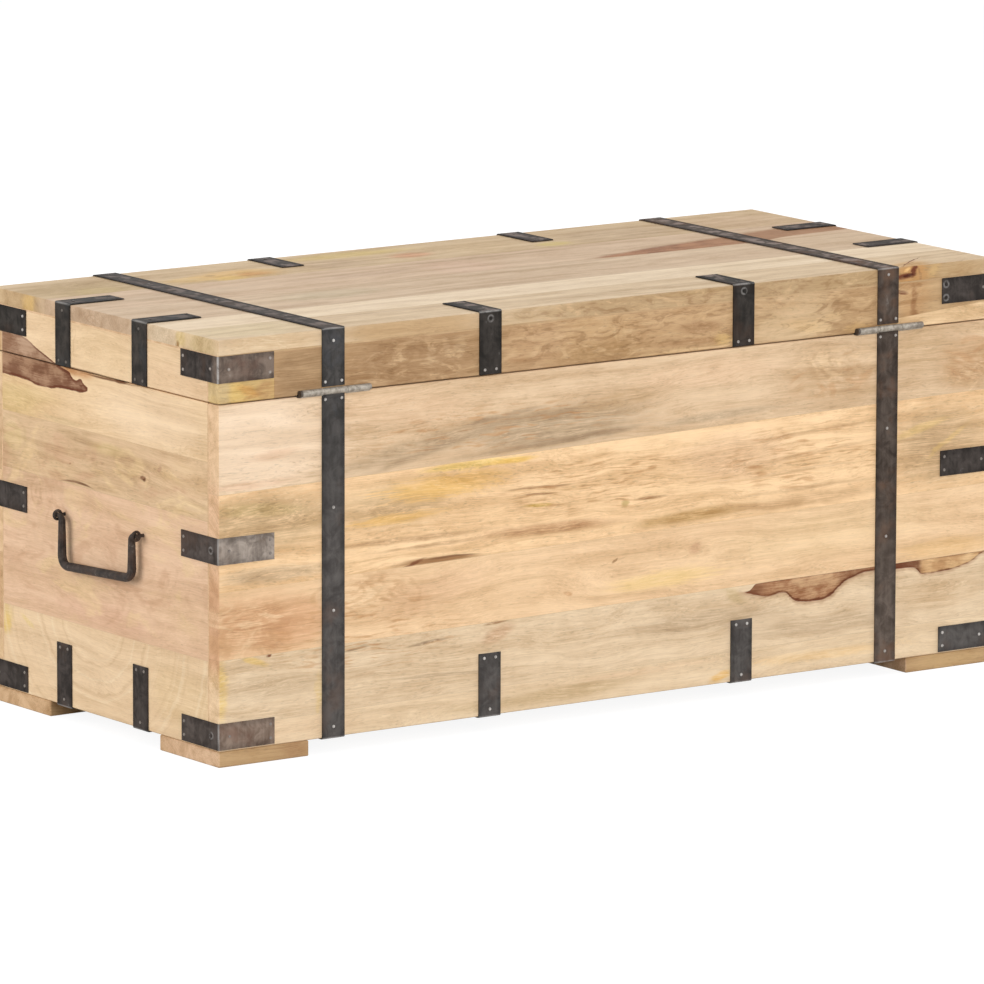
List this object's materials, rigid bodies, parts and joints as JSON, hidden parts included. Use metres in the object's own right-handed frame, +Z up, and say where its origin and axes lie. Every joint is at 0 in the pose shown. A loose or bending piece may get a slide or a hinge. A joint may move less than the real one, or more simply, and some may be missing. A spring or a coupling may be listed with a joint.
{
  "type": "storage chest",
  "caption": "Low solid wood storage chest with a hinged lid, flat-iron straps, corner irons and brackets, block feet and a drop handle at each end.",
  "frame": {"origin": "on the floor, under the middle of the wooden box", "axes": "+Z up, +X along the chest's length towards its right end as seen from the hinge side, -Y out of the hinge side"},
  "size_m": [0.927, 0.3986, 0.4019],
  "materials": {
    "pale_wood": "clear satin varnish over pale mixed boards",
    "tan_wood": "clear satin varnish over darker boards",
    "black_iron": "blackened flat strip, worn at the edges",
    "bright_steel": "dull galvanised"
  },
  "bodies": {
    "box": {"hinge_side_wall": "pale_wood", "opening_side_wall": "pale_wood", "left_end_wall": "pale_wood", "right_end_wall": "pale_wood", "bottom_panel": "tan_wood", "foot_left_hinge_side": "pale_wood", "foot_left_opening_side": "pale_wood", "foot_right_hinge_side": "pale_wood", "foot_right_opening_side": "pale_wood", "box_strap_left": "black_iron", "box_strap_right": "black_iron", "middle_corner_iron_left_hinge_side": "black_iron", "middle_corner_iron_left_opening_side": "black_iron", "middle_corner_iron_right_hinge_side": "black_iron", "middle_corner_iron_right_opening_side": "black_iron", "bottom_corner_iron_left_hinge_side": "black_iron", "bottom_corner_iron_left_opening_side": "black_iron", "bottom_corner_iron_right_hinge_side": "black_iron", "bottom_corner_iron_right_opening_side": "black_iron", "box_bracket_hinge_side_left": "black_iron", "box_bracket_hinge_side_right": "black_iron", "box_bracket_opening_side_left": "black_iron", "box_bracket_opening_side_right": "black_iron", "box_bracket_left_end_hinge_side": "black_iron", "box_bracket_left_end_opening_side": "black_iron", "box_bracket_right_end_hinge_side": "black_iron", "box_bracket_right_end_opening_side": "black_iron", "hinge_left_lower_leaf": "bright_steel", "hinge_right_lower_leaf": "bright_steel", "hinge_left_pin": "bright_steel", "hinge_right_pin": "bright_steel", "left_handle_eye_hinge_side": "black_iron", "left_handle_eye_opening_side": "black_iron", "right_handle_eye_hinge_side": "black_iron", "right_handle_eye_opening_side": "black_iron"},
    "lid": {"lid_panel": "pale_wood", "lid_rail_hinge_side": "tan_wood", "lid_rail_opening_side": "tan_wood", "lid_rail_left_end": "pale_wood", "lid_rail_right_end": "pale_wood", "lid_strap_left": "black_iron", "lid_strap_right": "black_iron", "lid_corner_iron_left_hinge_side": "black_iron", "lid_corner_iron_left_opening_side": "black_iron", "lid_corner_iron_right_hinge_side": "black_iron", "lid_corner_iron_right_opening_side": "black_iron", "lid_bracket_hinge_side_left": "black_iron", "lid_bracket_hinge_side_right": "black_iron", "lid_bracket_opening_side_left": "black_iron", "lid_bracket_opening_side_right": "black_iron", "lid_bracket_left_end_hinge_side": "black_iron", "lid_bracket_left_end_opening_side": "black_iron", "lid_bracket_right_end_hinge_side": "black_iron", "lid_bracket_right_end_opening_side": "black_iron", "hinge_left_upper_leaf": "bright_steel", "hinge_right_upper_leaf": "bright_steel"},
    "left_handle": {"left_handle_bail": "black_iron"},
    "right_handle": {"right_handle_bail": "black_iron"}
  },
  "joints": [
    {"name": "lid_hinge", "type": "hinge", "parent": "box", "child": "lid", "pos_m": [0, -0.1986, 0.34265], "axis": [1, 0, 0], "range_deg": [0, 180]},
    {"name": "left_handle_swing", "type": "hinge", "parent": "box", "child": "left_handle", "pos_m": [-0.458, 0, 0.1994], "axis": [0, 1, 0], "range_deg": [-4, 184]},
    {"name": "right_handle_swing", "type": "hinge", "parent": "box", "child": "right_handle", "pos_m": [0.458, 0, 0.1994], "axis": [0, -1, 0], "range_deg": [-4, 184]}
  ]
}
